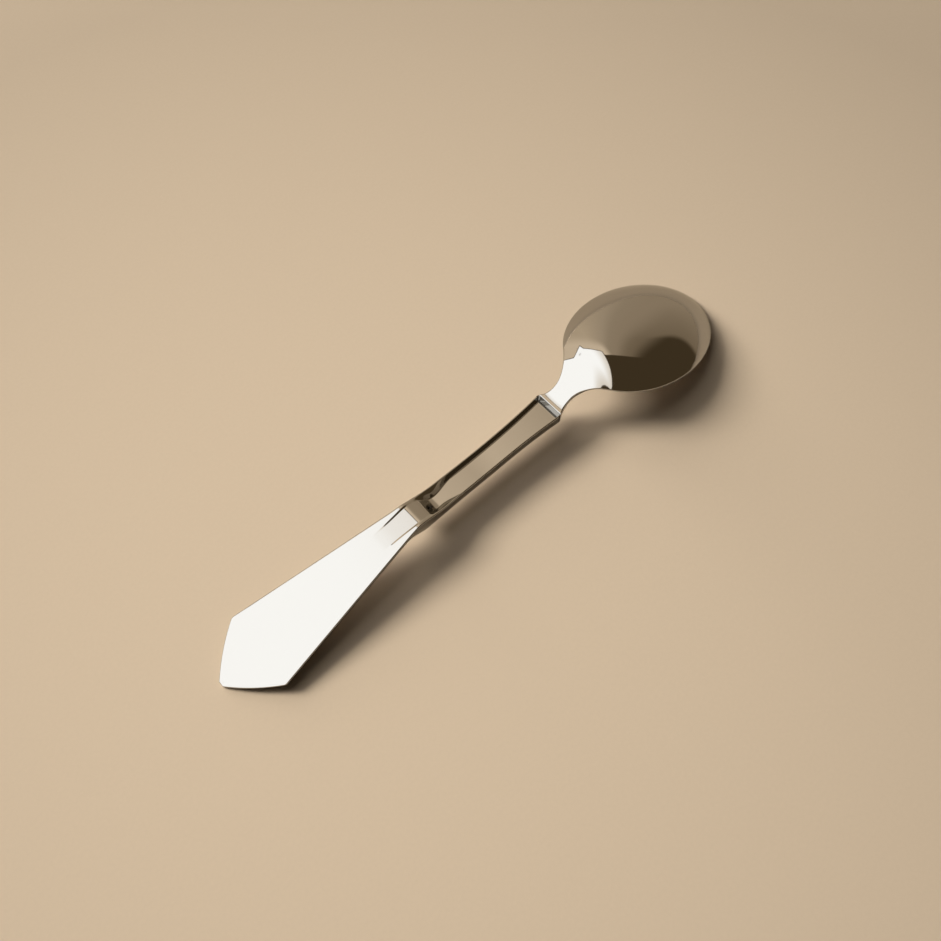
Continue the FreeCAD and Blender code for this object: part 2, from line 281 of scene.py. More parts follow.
@dataclass(frozen=True)
class Channel:
    """Channel stamped into the back of the stem, with side walls that lean far out at its ramp.

    Its floor leaves the kite at the start, rises to the crest and goes down the ramp from its brink to its
    foot. These are stations, a rise is a height above the table, and a bend is a radius.

    Attributes:
        lead_in: Length before the start in which the stamping sets in.
        waist_lip: How much more lip is left at the start. It fades over waist_reach.
        lean: How much wider the walls are at lean_place, seen from above.
        ramp: Length of the slope on the front, under the waist.
        end_lift: How many times its own length the end wall's line runs on, up through the lips.
        softness: Reach of the soft joints between floor, walls and lips.
    """

    start: float = 59.0
    lead_in: float = 3.0
    depth: float = 2.4
    lip: float = 0.5
    waist_lip: float = 0.95
    waist_reach: float = 20.0
    wall: float = 0.42
    lean: float = 1.5
    lean_place: float = 79.5
    lean_before: float = 5.0
    lean_after: float = 5.5
    crest: float = 70.6
    crest_rise: float = 10.5
    brink: float = 73.7
    brink_rise: float = 9.7
    foot: float = 77.9
    crest_bend: float = 6.0
    ramp_bend: float = 2.5
    ramp: float = 6.0
    end: float = 0.4
    end_wall: float = 0.9
    end_bend: float = 0.4
    end_lift: float = 2.0
    softness: float = 0.14

    def wall_width(self, s: np.ndarray) -> np.ndarray:
        """Width of each side wall at stations s, seen from above."""
        reach = np.where(s < self.lean_place, self.lean_before, self.lean_after)
        return self.wall + self.lean * np.exp(-((s - self.lean_place) / reach) ** 2)


@dataclass(frozen=True)
class SideView:
    """Heights of the handle's back above the table, and the bends between its straight runs.

    A rise is a height above the table, and a bend is a radius. The crest is the bend between kite and stem,
    the heel the bend where the neck's slope reaches the bowl, and heel_fall the slope on which it runs on.
    """

    sheet: float = 1.45
    stem_height: float = 3.7
    waist_rise: float = 10.5
    stem_start: float = 78.5
    stem_rise: float = 8.6
    stem_mid_rise: float = 8.5
    shoulder_rise: float = 9.5
    neck_foot: float = 3.4
    neck_foot_rise: float = 9.8
    neck_sheet: float = 2.4
    neck_crown: float = 10.0
    heel_reach: float = 2.7
    heel_rise: float = 17.7
    heel_fall: float = 0.5
    crest: float = 69.5
    crest_rise: float = 10.85
    crest_bend: float = 8.0
    stem_bend: float = 20.0
    stem_sweep: float = 200.0
    neck_bend: float = 9.0
    heel_bend: float = 6.0
    front_bend: float = 5.0


@dataclass(frozen=True)
class Bowl:
    """Oval bowl: domed back, flat rim and domed hollow.

    A fullness says how steeply the ends or sides stand, heel_bias how far the deepest point lies towards the
    front, and blend how far the soft joint with the neck reaches. The flare runs from the neck to where it
    meets the oval, and its start and end say how hard it keeps to either.
    """

    length: float = 57.86
    width: float = 40.44
    depth: float = 9.4
    wall: float = 1.2
    rim_width: float = 1.3
    rim_edge: float = 0.5
    rim_slope: float = 0.244
    end_fullness: float = 0.80
    side_fullness: float = 0.25
    heel_bias: float = -0.12
    blend: float = 2.4
    flare_meet: float = 4.4
    flare_start: float = 4.0
    flare_end: float = 3.0


@dataclass(frozen=True)
class SpoonForm:
    """Whole form of the spoon as heights over a plan."""

    length: float = 195.0
    handle_round: float = 0.42
    bowl_round: float = 0.2
    plan: HandlePlan = field(default_factory=HandlePlan)
    side: SideView = field(default_factory=SideView)
    channel: Channel = field(default_factory=Channel)
    bowl: Bowl = field(default_factory=Bowl)

    @property
    def bowl_centre(self) -> float:
        """Station of the bowl's middle."""
        return self.length - self.bowl.length / 2

    @property
    def bowl_back(self) -> float:
        """Station where the bowl's outline starts."""
        return self.length - self.bowl.length

    def rim_height(self, s: np.ndarray) -> np.ndarray:
        """Height of the rim plane at stations s."""
        return self.bowl.rim_slope * (self.length - s)

    def kite_height(self, s: np.ndarray) -> np.ndarray:
        """Height of the kite's flat back at stations s, continued past the waist."""
        return self.side.sheet + (self.side.waist_rise - self.side.sheet) * s / self.plan.kite_length

    def back_path(self) -> RoundedPath:
        """Side view of the back, with the neck's slope running on into the bowl.

        Returns:
            The line.
        """
        side, plan = self.side, self.plan
        heel = self.bowl_back + side.heel_reach
        return RoundedPath((
            (-OVERRUN, float(self.kite_height(-OVERRUN)), 0.0),
            (side.crest, side.crest_rise, side.crest_bend),
            (side.stem_start, side.stem_rise, side.stem_bend),
            (plan.stem_narrowest, side.stem_mid_rise, side.stem_sweep),
            (plan.shoulder, side.shoulder_rise, side.stem_bend),
            (plan.shoulder + side.neck_foot, side.neck_foot_rise, side.neck_bend),
            (heel, side.heel_rise, side.heel_bend),
            (self.length, side.heel_rise - (self.length - heel) * side.heel_fall, 0.0),
        ))

    def front_path(self) -> RoundedPath:
        """Side view of the front: kite, stem, neck and then the plane of the bowl's rim.

        Returns:
            The line.
        """
        side, plan = self.side, self.plan
        ramp_start = plan.kite_length - self.channel.ramp / 2
        meet = self.bowl_back + self.bowl.rim_edge
        return RoundedPath((
            (-OVERRUN, float(self.kite_height(-OVERRUN)) - side.sheet, 0.0),
            (ramp_start, float(self.kite_height(ramp_start)) - side.sheet, side.front_bend),
            (ramp_start + self.channel.ramp, side.stem_rise - side.stem_height, side.front_bend),
            (plan.stem_narrowest, side.stem_mid_rise - side.stem_height, side.stem_sweep),
            (plan.shoulder, side.shoulder_rise - side.stem_height, side.front_bend),
            (plan.shoulder + side.neck_foot, side.neck_foot_rise - side.neck_sheet, side.front_bend),
            (meet, float(self.rim_height(meet)), side.front_bend),
            (self.length + OVERRUN, float(self.rim_height(self.length + OVERRUN)), 0.0),
        ))

    def floor_path(self) -> RoundedPath:
        """Side view of the channel's floor: over its crest, down the ramp and up to the neck.

        Returns:
            The line.
        """
        side, plan, channel = self.side, self.plan, self.channel
        start = float(self.back_path().height(np.array(channel.start)))
        slope = (channel.crest_rise - start) / (channel.crest - channel.start)
        end = plan.shoulder - channel.end
        wall_top = side.shoulder_rise + (channel.end_lift - 1) * channel.depth
        return RoundedPath((
            (-OVERRUN, start - slope * (channel.start + OVERRUN), 0.0),
            (channel.crest, channel.crest_rise, channel.crest_bend),
            (channel.brink, channel.brink_rise, channel.ramp_bend),
            (channel.foot, side.stem_rise - channel.depth, channel.ramp_bend),
            (plan.stem_narrowest, side.stem_mid_rise - channel.depth, side.stem_sweep),
            (end, side.shoulder_rise - channel.depth, channel.end_bend),
            (end + channel.end_lift * channel.end_wall, wall_top, 0.0),
        ))

    def lip_half_width(self, s: np.ndarray) -> np.ndarray:
        """Half width of the channel between its lips.

        Args:
            s: Stations.

        Returns:
            Half widths of the same shape.
        """
        plan, channel = self.plan, self.channel
        spread = smooth_step((s - channel.start) / channel.waist_reach)
        return plan.stem_half_width(s) - channel.lip - channel.waist_lip * (1 - spread)

    def dome(self, s: np.ndarray, y: np.ndarray, inset: float, depth: float, edge: float) -> np.ndarray:
        """Height of a domed face: a smooth cap on an ellipse, fuller at its ends.

        Args:
            s: Stations.
            y: Distances from the middle plane.
            inset: How far the ellipse lies inside the bowl's outline.
            depth: Height of the cap over its edge.
            edge: Height of its edge over the rim plane.

        Returns:
            Heights above the table.
        """
        bowl = self.bowl
        across = (s - self.bowl_centre) / (bowl.length / 2 - inset)
        aside = y / (bowl.width / 2 - inset)
        cap = 1 - across ** 2 - aside ** 2
        fullness = 1 + bowl.end_fullness * across ** 2 + bowl.side_fullness * aside ** 2
        return self.rim_height(s) + edge + depth * cap * fullness * (1 + bowl.heel_bias * across)

    def back(self, s: np.ndarray, y: np.ndarray) -> np.ndarray:
        """Height of the back, channel included, before its edges are rounded.

        Args:
            s: Stations.
            y: Distances from the middle plane.

        Returns:
            Heights above the table.
        """
        plan, side, bowl, channel = self.plan, self.side, self.bowl, self.channel
        s, y = np.broadcast_arrays(s, y)
        crown = smooth_step((s - plan.join) / (self.bowl_back - plan.join)) / (2 * side.neck_crown)
        tongue = self.back_path().height(s) - crown * y * y
        dome = self.dome(s, y, 0.0, bowl.depth - bowl.rim_edge, bowl.rim_edge)
        lips = np.where(s > plan.join, soft_max(tongue, dome, bowl.blend), tongue)
        width = channel.wall_width(s)
        climb = (np.abs(y) - self.lip_half_width(s) + width) / width
        climb = soft_max(climb, np.zeros_like(climb), channel.softness)
        climb = soft_min(climb, np.ones_like(climb), channel.softness)
        sunk = soft_max(lips - self.floor_path().height(s), np.zeros_like(lips), channel.softness)
        stamped = lips - sunk * (1 - climb) * smooth_step((s - channel.start) / channel.lead_in + 1)
        first = channel.start - channel.lead_in
        last = plan.shoulder + channel.end_lift * channel.end_wall
        return np.where((s > first) & (s < last), stamped, lips)

    def front(self, s: np.ndarray, y: np.ndarray) -> np.ndarray:
        """Height of the front, hollow included, before its edges are rounded.

        Args:
            s: Stations.
            y: Distances from the middle plane.

        Returns:
            Heights above the table.
        """
        bowl = self.bowl
        plane = self.front_path().height(s)
        hollow = self.dome(s, y, bowl.rim_width, bowl.depth - bowl.wall, 0.0)
        return np.where(s > self.bowl_back, soft_max(plane, hollow, bowl.rim_edge / 2), plane)

    def flare_edge(self) -> Strand:
        """Side of the neck from its narrowest part, as a curve on four poles into the bowl's outline.

        Returns:
            The edge on the left.
        """
        bowl, plan = self.bowl, self.plan
        half_length, half_width = bowl.length / 2, bowl.width / 2
        along = (bowl.flare_meet - half_length) / half_length
        aside = math.sqrt(1 - along ** 2)
        start = np.array([plan.neck, plan.neck_width / 2])
        meet = np.array([self.bowl_back + bowl.flare_meet, half_width * aside])
        tangent = np.array([half_length * aside, -half_width * along])
        tangent /= np.linalg.norm(tangent)
        poles = [start, start + np.array([bowl.flare_start, 0.0]), meet - tangent * bowl.flare_end, meet]
        t = np.linspace(0.0, 1.0, FLARE_POINTS)[:, None]
        points = ((1 - t) ** 3 * poles[0] + 3 * t * (1 - t) ** 2 * poles[1] + 3 * t * t * (1 - t) * poles[2]
                  + t ** 3 * poles[3])
        slope = ((1 - t) ** 2 * (poles[1] - poles[0]) + 2 * t * (1 - t) * (poles[2] - poles[1])
                 + t * t * (poles[3] - poles[2]))
        return Strand.along(points, slope)

    def oval_edge(self) -> Strand:
        """Outline of the bowl from where the flare meets it to the front.

        Returns:
            The edge on the left.
        """
        half_length, half_width = self.bowl.length / 2, self.bowl.width / 2
        start = math.acos((half_length - self.bowl.flare_meet) / half_length)
        turn = np.linspace(start, math.pi, CURVE_POINTS)
        points = np.stack([self.bowl_centre - half_length * np.cos(turn), half_width * np.sin(turn)], axis=1)
        return Strand.along(points, np.stack([half_length * np.sin(turn), half_width * np.cos(turn)], axis=1))

    def outline(self) -> Strand:
        """Half of the plan outline, from the tip to the bowl's front.

        Returns:
            The outline on the left.
        """
        plan = self.plan
        end_edge = plan.end_edge()
        mirrored = Strand(end_edge.points[::-1] * [1, -1], end_edge.normals[::-1] * [1, -1])
        _, tip, end_edge = mirrored.rounded_into(end_edge, plan.tip_radius)
        tip = Strand(tip.points[tip.points[:, 1] > 0], tip.normals[tip.points[:, 1] > 0])
        corner = (plan.kite_corner, plan.kite_width / 2)
        waist = (plan.kite_length, plan.waist_width / 2)
        shoulder = (plan.shoulder, plan.shoulder_width / 2)
        join = (plan.join, float(plan.neck_half_width(plan.join)))
        kite_side = Strand.line(corner, waist)
        end_edge, corner_bend, kite_side = end_edge.rounded_into(kite_side, plan.corner_radius)
        kite_side, waist_bend, stem = kite_side.rounded_into(plan.stem_edge(), plan.waist_radius)
        stem, shoulder_bend, slant = stem.rounded_into(Strand.line(shoulder, join), plan.shoulder_radius)
        start = Strand(np.array([[0.0, 0.0]]), np.array([[-1.0, 0.0]]))
        strands = [start, tip, end_edge, corner_bend, kite_side, waist_bend, stem, shoulder_bend, slant,
                   plan.hollow_edge(), self.flare_edge(), self.oval_edge()]
        return Strand(np.concatenate([strand.points for strand in strands]),
                      np.concatenate([strand.normals for strand in strands]))


@dataclass(frozen=True)
class Grain:
    """Step between the mesh's loops within a range of stations."""

    start: float
    end: float
    step: float


@dataclass
class SpoonSurface:
    """One closed mesh over the spoon's form: loops round the spoon, one per point of its outline.

    Attributes:
        rounding: Angles of the rows that round an edge, in degrees. One more row lies inner_gap inside them.
        fold_rows: Rows beside a fold of the channel. They lie foot_stretch wider apart at a wall's foot.
        kite_row: Distance of these rows from the kite's outline, before they gather towards the channel.
        brink_rows: Rows beside the brink of the hollow, which keeps brink_gap from the last row.
    """

    form: SpoonForm = field(default_factory=SpoonForm)
    coarse: float = 0.8
    grains: tuple[Grain, ...] = (
        Grain(-1.0, 2.2, 0.15), Grain(12.0, 15.5, 0.18), Grain(57.0, 81.0, 0.35), Grain(123.8, 127.4, 0.1),
        Grain(127.4, 143.0, 0.4), Grain(143.0, 196.0, 0.6),
    )
    columns: int = 20
    rounding: tuple[float, ...] = (0.0, 13.0, 26.0, 40.0, 54.0, 70.0, 90.0)
    inner_gap: float = 0.06
    fold_rows: tuple[float, ...] = (-0.12, -0.06, 0.0, 0.06, 0.12)
    foot_stretch: float = 1.3
    kite_row: float = 0.6
    least_row: float = 0.3
    gather: float = 47.0
    gather_reach: float = 8.0
    brink_rows: tuple[float, ...] = (0.45, 0.3, 0.15, 0.0, -0.15, -0.3, -0.5)
    brink_gap: float = 0.02

    def stations(self) -> Strand:
        """Picks the outline points at which the mesh has its loops.

        Returns:
            The points, none of them past the tip or the front.
        """
        outline = self.form.outline()
        steps = np.full(len(outline.points), self.coarse)
        for grain in self.grains:
            steps[(outline.points[:, 0] >= grain.start) & (outline.points[:, 0] < grain.end)] = grain.step
        lengths = np.linalg.norm(np.diff(outline.points, axis=0), axis=1)
        counts = np.concatenate([[0.0], np.cumsum(lengths * 2 / (steps[1:] + steps[:-1]))])
        wanted = np.linspace(0.0, counts[-1], int(counts[-1]) + 1)
        points = np.stack([np.interp(wanted, counts, outline.points[:, i]) for i in (0, 1)], axis=1)
        normals = np.stack([np.interp(wanted, counts, outline.normals[:, i]) for i in (0, 1)], axis=1)
        points[:, 0] = np.maximum(points[:, 0], 0.0)
        points[-1], normals[-1] = [self.form.length, 0.0], [1.0, 0.0]
        return Strand(points, normals / np.linalg.norm(normals, axis=1, keepdims=True))

    def edge_rows(self, strand: Strand) -> tuple[np.ndarray, np.ndarray]:
        """Rows that round the spoon's edge, and one more inside them.

        Args:
            strand: Outline points that have loops.

        Returns:
            Distances from the outline, and how far each row lies off the unrounded face, one line per point.
        """
        form = self.form
        spread = smooth_step((strand.points[:, 0] - form.plan.neck) / (form.bowl_back - form.plan.neck))
        radius = (form.handle_round + (form.bowl_round - form.handle_round) * spread)[:, None]
        angles = np.radians(np.array(self.rounding))
        rows = np.concatenate([radius * (1 - np.cos(angles))[None, :], radius + self.inner_gap], axis=1)
        return rows, np.concatenate([radius * (1 - np.sin(angles))[None, :], np.zeros_like(radius)], axis=1)

    def channel_rows(self, strand: Strand) -> np.ndarray:
        """Rows beside the channel's lip and beside the foot of its wall.

        Args:
            strand: Outline points that have loops.

        Returns:
            Distances from the outline, one line per point.
        """
        form = self.form
        s, y = strand.points.T
        level = np.abs(strand.normals[:, 1])
        lip = np.maximum(y - form.lip_half_width(s), form.channel.lip) * level
        lip = np.clip(lip, self.least_row, np.maximum(y / 2, self.kite_row))
        lip = self.kite_row + (lip - self.kite_row) * smooth_step((s - self.gather) / self.gather_reach)
        lip = np.where(s > form.plan.shoulder, form.channel.lip, lip)[:, None]
        foot = lip + (form.channel.wall_width(s) * level)[:, None]
        folds = np.array(self.fold_rows)[None, :]
        return np.concatenate([lip + folds, (lip + foot) / 2, foot + folds * self.foot_stretch], axis=1)

    @staticmethod
    def inside(strand: Strand, rows: np.ndarray) -> tuple[np.ndarray, np.ndarray]:
        """Stations and distances aside of points that lie rows inside the outline."""
        s, y = (strand.points[:, i:i + 1] - rows * strand.normals[:, i:i + 1] for i in (0, 1))
        return s, np.maximum(y, 0.0)

    def across_front(self, s: np.ndarray, y: np.ndarray) -> np.ndarray:
        """Distances aside of points across the front, gathered at the brink of the hollow.

        Args:
            s: Stations of the lines across.
            y: Distances aside at which the lines start.

        Returns:
            Distances aside down to the middle plane, one line per station.
        """
        bowl, centre = self.form.bowl, self.form.bowl_centre
        half_length = bowl.length / 2 - bowl.rim_width
        way = np.clip((s - centre) / half_length, -1.0, 1.0)
        brink = (bowl.width / 2 - bowl.rim_width) * np.sqrt(1 - way ** 2)
        brink = np.where(s < centre - half_length, y / 2, np.minimum(brink, y - self.brink_gap))
        rows = np.maximum(brink, 0.0)[:, None] + np.array(self.brink_rows)[None, :]
        rows = np.clip(rows, 0.0, y[:, None])
        shares = 1 - (np.arange(self.columns) + 1) / self.columns
        return np.concatenate([rows, rows[:, -1:] * shares[None, :]], axis=1)

    def build_half(self) -> np.ndarray:
        """Points of each loop's left half, round the edge from the middle of the back.

        Returns:
            Array of stations by points by (x, y, z), in millimetres from the tip.
        """
        form, strand = self.form, self.stations()
        edge_rows, edge_drops = self.edge_rows(strand)
        rows = np.concatenate([edge_rows, self.channel_rows(strand)], axis=1)
        drops = np.pad(edge_drops, ((0, 0), (0, rows.shape[1] - edge_drops.shape[1])))
        order = np.argsort(rows, axis=1)
        s, y = self.inside(strand, np.take_along_axis(rows, order, axis=1))
        back = np.stack([s, y, form.back(s, y) - np.take_along_axis(drops, order, axis=1)], axis=2)
        y = y[:, -1:] * (np.arange(self.columns) / self.columns)[None, :]
        s = np.repeat(s[:, -1:], self.columns, axis=1)
        back_middle = np.stack([s, y, form.back(s, y)], axis=2)
        s, y = self.inside(strand, edge_rows)
        front = np.stack([s, y, form.front(s, y) + edge_drops], axis=2)
        y = self.across_front(s[:, -1], y[:, -1])
        s = np.repeat(s[:, -1:], y.shape[1], axis=1)
        front_middle = np.stack([s, y, form.front(s, y)], axis=2)
        return np.concatenate([back_middle, back[:, ::-1], front, front_middle], axis=1)

    def build(self) -> bpy.types.Object:
        """Makes the closed mesh of both halves.

        Returns:
            The spoon, in metres, with its origin under its middle.
        """
        half = self.build_half()
        mirrored = half[:, 1:-1][:, ::-1] * [1.0, -1.0, 1.0]
        loops = np.concatenate([half, mirrored], axis=1)
        count, size = loops.shape[:2]
        points = (loops.reshape(-1, 3) - [self.form.length / 2, 0.0, 0.0]) * MM
        index = np.arange(count * size).reshape(count, size)
        ahead = np.roll(index, -1, axis=1)
        faces = np.stack([index[:-1], ahead[:-1], ahead[1:], index[1:]], axis=2).reshape(-1, 4)
        keys = np.round(points / SAME_POINT).astype(np.int64)
        _, first, same = np.unique(keys, axis=0, return_index=True, return_inverse=True)
        faces = same.reshape(-1)[faces]
        cleaned = []
        for face in faces.tolist():
            corners = [v for k, v in enumerate(face) if v != face[k - 1]]
            if len(corners) > 2 and len(set(corners)) == len(corners):
                cleaned.append(corners)
        mesh = bpy.data.meshes.new("spoon_body")
        mesh.from_pydata(points[first].tolist(), [], cleaned)
        mesh.validate()
        mesh.shade_smooth()
        mesh.update()
        body = bpy.data.objects.new("spoon_body", mesh)
        bpy.context.collection.objects.link(body)
        return body


class Operation(Enum):
    """What a Math node works out."""

    SUM = "ADD"
    DIFFERENCE = "SUBTRACT"
    PRODUCT = "MULTIPLY"
    POWER = "POWER"
    HIGHER = "MAXIMUM"


class Signal:
    """Output of a shader node that can stand in a Python expression."""

    def __init__(self, bench: "NodeBench", socket: bpy.types.NodeSocket) -> None:
        """Wraps a socket of a bench's tree."""
        self.bench = bench
        self.socket = socket

    def _math(self, operation: Operation, first: Any, second: Any) -> "Signal":
        """Value of a new Math node on two signals or numbers."""
        return self.bench.node("ShaderNodeMath", {"operation": operation.value}, {0: first, 1: second})

    def __add__(self, other: Any) -> "Signal":
        """Sum."""
        return self._math(Operation.SUM, self, other)

    __radd__ = __add__

    def __sub__(self, other: Any) -> "Signal":
        """Difference."""
        return self._math(Operation.DIFFERENCE, self, other)

    def __rsub__(self, other: Any) -> "Signal":
        """Difference, with the number first."""
        return self._math(Operation.DIFFERENCE, other, self)

    def __mul__(self, other: Any) -> "Signal":
        """Product."""
        return self._math(Operation.PRODUCT, self, other)

    __rmul__ = __mul__

    def __pow__(self, other: Any) -> "Signal":
        """Power."""
        return self._math(Operation.POWER, self, other)

    def between(self, low: float, high: float) -> "Signal":
        """Share of the way from a low to a high value, kept within 0 and 1."""
        return self.bench.node("ShaderNodeMapRange", {}, {"Value": self, "From Min": low, "From Max": high})

    def at_least(self, other: float) -> "Signal":
        """The signal, or the number where that is higher."""
        return self._math(Operation.HIGHER, self, other)

    def above(self, edge: float, width: float) -> "Signal":
        """Mask that is 0 below an edge and 1 above it.

        Args:
            edge: Value in the middle of the change.
            width: Width of the change.

        Returns:
            The mask.
        """
        settings = {"interpolation_type": "SMOOTHSTEP"}
        inputs = {"Value": self, "From Min": edge - width / 2, "From Max": edge + width / 2}
        return self.bench.node("ShaderNodeMapRange", settings, inputs)


class NodeBench:
    """Place where one node tree is put together."""

    def __init__(self, tree: bpy.types.NodeTree) -> None:
        """Empties a tree to start with."""
        self.tree = tree
        tree.nodes.clear()

    def node(self, kind: str, settings: dict[str, Any], inputs: dict[Any, Any], output: Any = 0) -> Signal:
        """Adds one node.

        Args:
            kind: Type name of the node.
            settings: Properties that are set first. Under "stops", a ramp's (position, colour) pairs.
            inputs: Values or signals by socket name or number.
            output: Name or number of the socket that is handed back.

        Returns:
            The chosen output.
        """
        made = self.tree.nodes.new(kind)
        for name, value in settings.items():
            if name == "stops":
                self._set_stops(made, value)
            else:
                setattr(made, name, value)
        for key, value in inputs.items():
            socket = made.inputs[key]
            if isinstance(value, Signal):
                self.tree.links.new(value.socket, socket)
            else:
                socket.default_value = value
        return Signal(self, made.outputs[output]) if made.outputs else Signal(self, made.inputs[0])

    def noise(self, place: Signal, scale: float, detail: float) -> Signal:
        """Adds a cloudy pattern over a place, with its scale and how finely it is broken up."""
        return self.node("ShaderNodeTexNoise", {}, {"Vector": place, "Scale": scale, "Detail": detail})

    def mix(self, share: Any, first: Any, second: Any) -> Signal:
        """Mixes two colours.

        Args:
            share: Share of the second colour.
            first: Signal or colour.
            second: Signal or colour.

        Returns:
            The mixed colour.
        """
        settings = {"data_type": "RGBA"}
        colours = [opaque(colour) if isinstance(colour, tuple) else colour for colour in (first, second)]
        return self.node("ShaderNodeMix", settings, {0: share, 6: colours[0], 7: colours[1]}, 2)

    @staticmethod
    def _set_stops(ramp: bpy.types.Node, stops: list[tuple[float, OpaqueColour]]) -> None:
        """Gives a colour ramp its stops.

        Args:
            ramp: The ramp's node.
            stops: Position and colour of each stop, in rising order.
        """
        elements = ramp.color_ramp.elements
        while len(elements) < len(stops):
            elements.new(0.5)   # any place, because the loop below gives each stop its own
        for element, (position, colour) in zip(elements, stops):
            element.position = position
            element.color = colour


def opaque(colour: Colour) -> OpaqueColour:
    """Colour with an alpha of 1."""
    return (*colour, 1.0)


@dataclass(frozen=True)
class PolishedSteel:
    """Mirror-polished stainless steel with faint wiping marks, and painted shade: a dark band in a corner of
    the channel.

    A higher scale makes smaller marks, and a higher detail breaks them up more. Haze is the roughness that
    wipes and smudges add. The painted shade's place is along the spoon from its middle, in metres.
    """

    colour: Colour = (0.45, 0.44, 0.42)
    edge_tint: Colour = (0.76, 0.75, 0.72)
    roughness: float = 0.04
    haze: float = 0.04
    wipe_scales: tuple[float, float, float] = (60.0, 900.0, 900.0)
    wipe_detail: float = 3.0
    smudge_scale: float = 45.0
    smudge_detail: float = 2.0
    wave_scale: float = 90.0
    wave_detail: float = 1.0
    wave_height: float = 0.000012
    # Painted shade: colour of the dark band in the channel's corner, at the foot of its end wall.
    painted_shade: Colour = (0.06, 0.05, 0.035)
    painted_shade_place: float = 0.0273
    painted_shade_before: float = 0.0001
    painted_shade_after: float = 0.0003
    painted_shade_blur: float = 0.0002

    def material(self) -> bpy.types.Material:
        """Makes the finish.

        Returns:
            The material.
        """
        made = bpy.data.materials.new("polished_steel")
        made.use_nodes = True
        bench = NodeBench(made.node_tree)
        place = bench.node("ShaderNodeTexCoord", {}, {}, "Object")
        lengthwise = bench.node("ShaderNodeMapping", {}, {"Vector": place, "Scale": self.wipe_scales})
        wipes = bench.noise(lengthwise, 1.0, self.wipe_detail)
        smudges = bench.noise(place, self.smudge_scale, self.smudge_detail)
        waves = bench.noise(place, self.wave_scale, self.wave_detail)
        sizes = {"Strength": 1.0, "Distance": self.wave_height, "Height": waves}
        ripple = bench.node("ShaderNodeBump", {}, sizes)
        # Painted shade: a dark band in the base colour across the channel at the foot of its end wall, where
        # shade falls.
        past = bench.node("ShaderNodeSeparateXYZ", {}, {"Vector": place}, "X") - self.painted_shade_place
        reached = past.above(-self.painted_shade_before, self.painted_shade_blur)
        left = past.above(self.painted_shade_after, self.painted_shade_blur)
        shader = bench.node("ShaderNodeBsdfPrincipled", {}, {
            "Base Color": bench.mix(reached * (1.0 - left), self.colour, self.painted_shade),
            "Specular Tint": opaque(self.edge_tint),
            "Metallic": 1.0,
            "Roughness": self.roughness + self.haze * wipes * smudges,
            "Normal": ripple,
        })
        bench.node("ShaderNodeOutputMaterial", {}, {"Surface": shader})
        return made


@dataclass(frozen=True)
class PaperTable:
    """Pale beige paper with a faint grain, and a painted pool of light round one spot.

    The painted light darkens its colour with the square of the distance from the spot, down to the least
    share of it.
    """

    colour: Colour = (0.66, 0.52, 0.37)
    roughness: float = 0.9
    grain: float = 0.05
    grain_scale: float = 900.0
    grain_detail: float = 3.0
    # Painted pool of light: its middle, how fast the painted light fades, and the least share it keeps.
    spot: tuple[float, float, float] = (-0.037, -0.035, 0.0)
    fading: float = 5.0
    least: float = 0.70

    def material(self) -> bpy.types.Material:
        """Makes the finish.

        Returns:
            The material.
        """
        made = bpy.data.materials.new("pale_table")
        made.use_nodes = True
        bench = NodeBench(made.node_tree)
        place = bench.node("ShaderNodeTexCoord", {}, {}, "Object")
        fibres = bench.noise(place, self.grain_scale, self.grain_detail)
        # Painted light: the colour is palest at the spot and darkens with distance from it; the grain is the
        # paper's own.
        ends = {0: place, 1: self.spot}
        away = bench.node("ShaderNodeVectorMath", {"operation": "DISTANCE"}, ends, "Value")
        painted_light = ((away * away * self.fading + 1.0) ** -1.0).at_least(self.least)
        painted_light_and_grain = painted_light * ((fibres - 0.5) * self.grain + 1.0)
        colour = bench.mix(painted_light_and_grain, (0.0, 0.0, 0.0), self.colour)
        looks = {"Base Color": colour, "Roughness": self.roughness}
        shader = bench.node("ShaderNodeBsdfPrincipled", {}, looks)
        bench.node("ShaderNodeOutputMaterial", {}, {"Surface": shader})
        return made


@dataclass(frozen=True)
class Lamp:
    """Rectangular lamp that shines on the table's middle and isn't mirrored.

    Its bearing is in degrees clockwise from the direction away from the camera, its rise in degrees above the
    table, and its distance, level width and height in metres.
    """

    name: str
    bearing: float
    rise: float
    distance: float
    width: float
    height: float
    watts: float
    colour: Colour = (1.0, 0.985, 0.96)

    def place(self, right: Vector, away: Vector) -> Vector:
        """Place of its middle.

        Args:
            right: Level direction to the camera's right.
            away: Level direction away from the camera.

        Returns:
            The place, in metres.
        """
        bearing, rise = math.radians(self.bearing), math.radians(self.rise)
        level = right * math.sin(bearing) + away * math.cos(bearing)
        return (level * math.cos(rise) + Vector((0.0, 0.0, math.sin(rise)))) * self.distance


@dataclass(frozen=True)
class Border:
    """Straight border of a surface in the room, seen from the spoon.

    It faces to the camera's right, away from the camera and upwards by the parts given, and its level is its
    offset from a plane through the spoon.
    """

    right: float
    away: float
    up: float
    level: float = 0.0

    def side(self, bench: NodeBench, look: Signal, right: Vector, away: Vector) -> Signal:
        """Signed distance of a looking direction from the border.

        Args:
            bench: Bench of the world's node tree.
            look: The looking direction.
            right: Level direction to the camera's right.
            away: Level direction away from the camera.

        Returns:
            The distance, above 0 on the side that the border faces.
        """
        facing = right * self.right + away * self.away + Vector((0.0, 0.0, self.up))
        dot = bench.node("ShaderNodeVectorMath", {"operation": "DOT_PRODUCT"}, {0: look, 1: facing}, "Value")
        return dot - self.level


